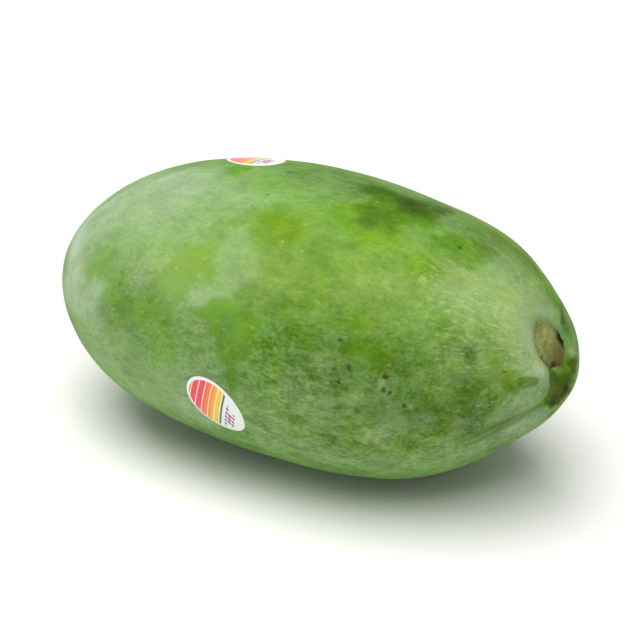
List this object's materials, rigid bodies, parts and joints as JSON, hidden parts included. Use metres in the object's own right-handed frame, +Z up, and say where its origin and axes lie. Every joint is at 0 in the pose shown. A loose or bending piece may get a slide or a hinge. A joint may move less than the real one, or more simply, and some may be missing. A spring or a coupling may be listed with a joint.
{
  "type": "mango",
  "caption": "Whole green mango lying on a small flat spot, with a corky stem scar, a short groove over the stem end and oval paper labels.",
  "frame": {"origin": "under the middle of the whole, on the surface that the fruit rests on", "axes": "+X from the rounded apex to the stem end, +Y to the flank without the label, +Z up from the resting surface"},
  "size_m": [0.151, 0.0884, 0.0748],
  "materials": {
    "skin": "satin",
    "stem": "matte",
    "label": "gloss"
  },
  "bodies": {
    "root": {"fruit": "skin", "stem_stub": "stem", "label_front": "label", "label_back": "label"}
  },
  "joints": []
}
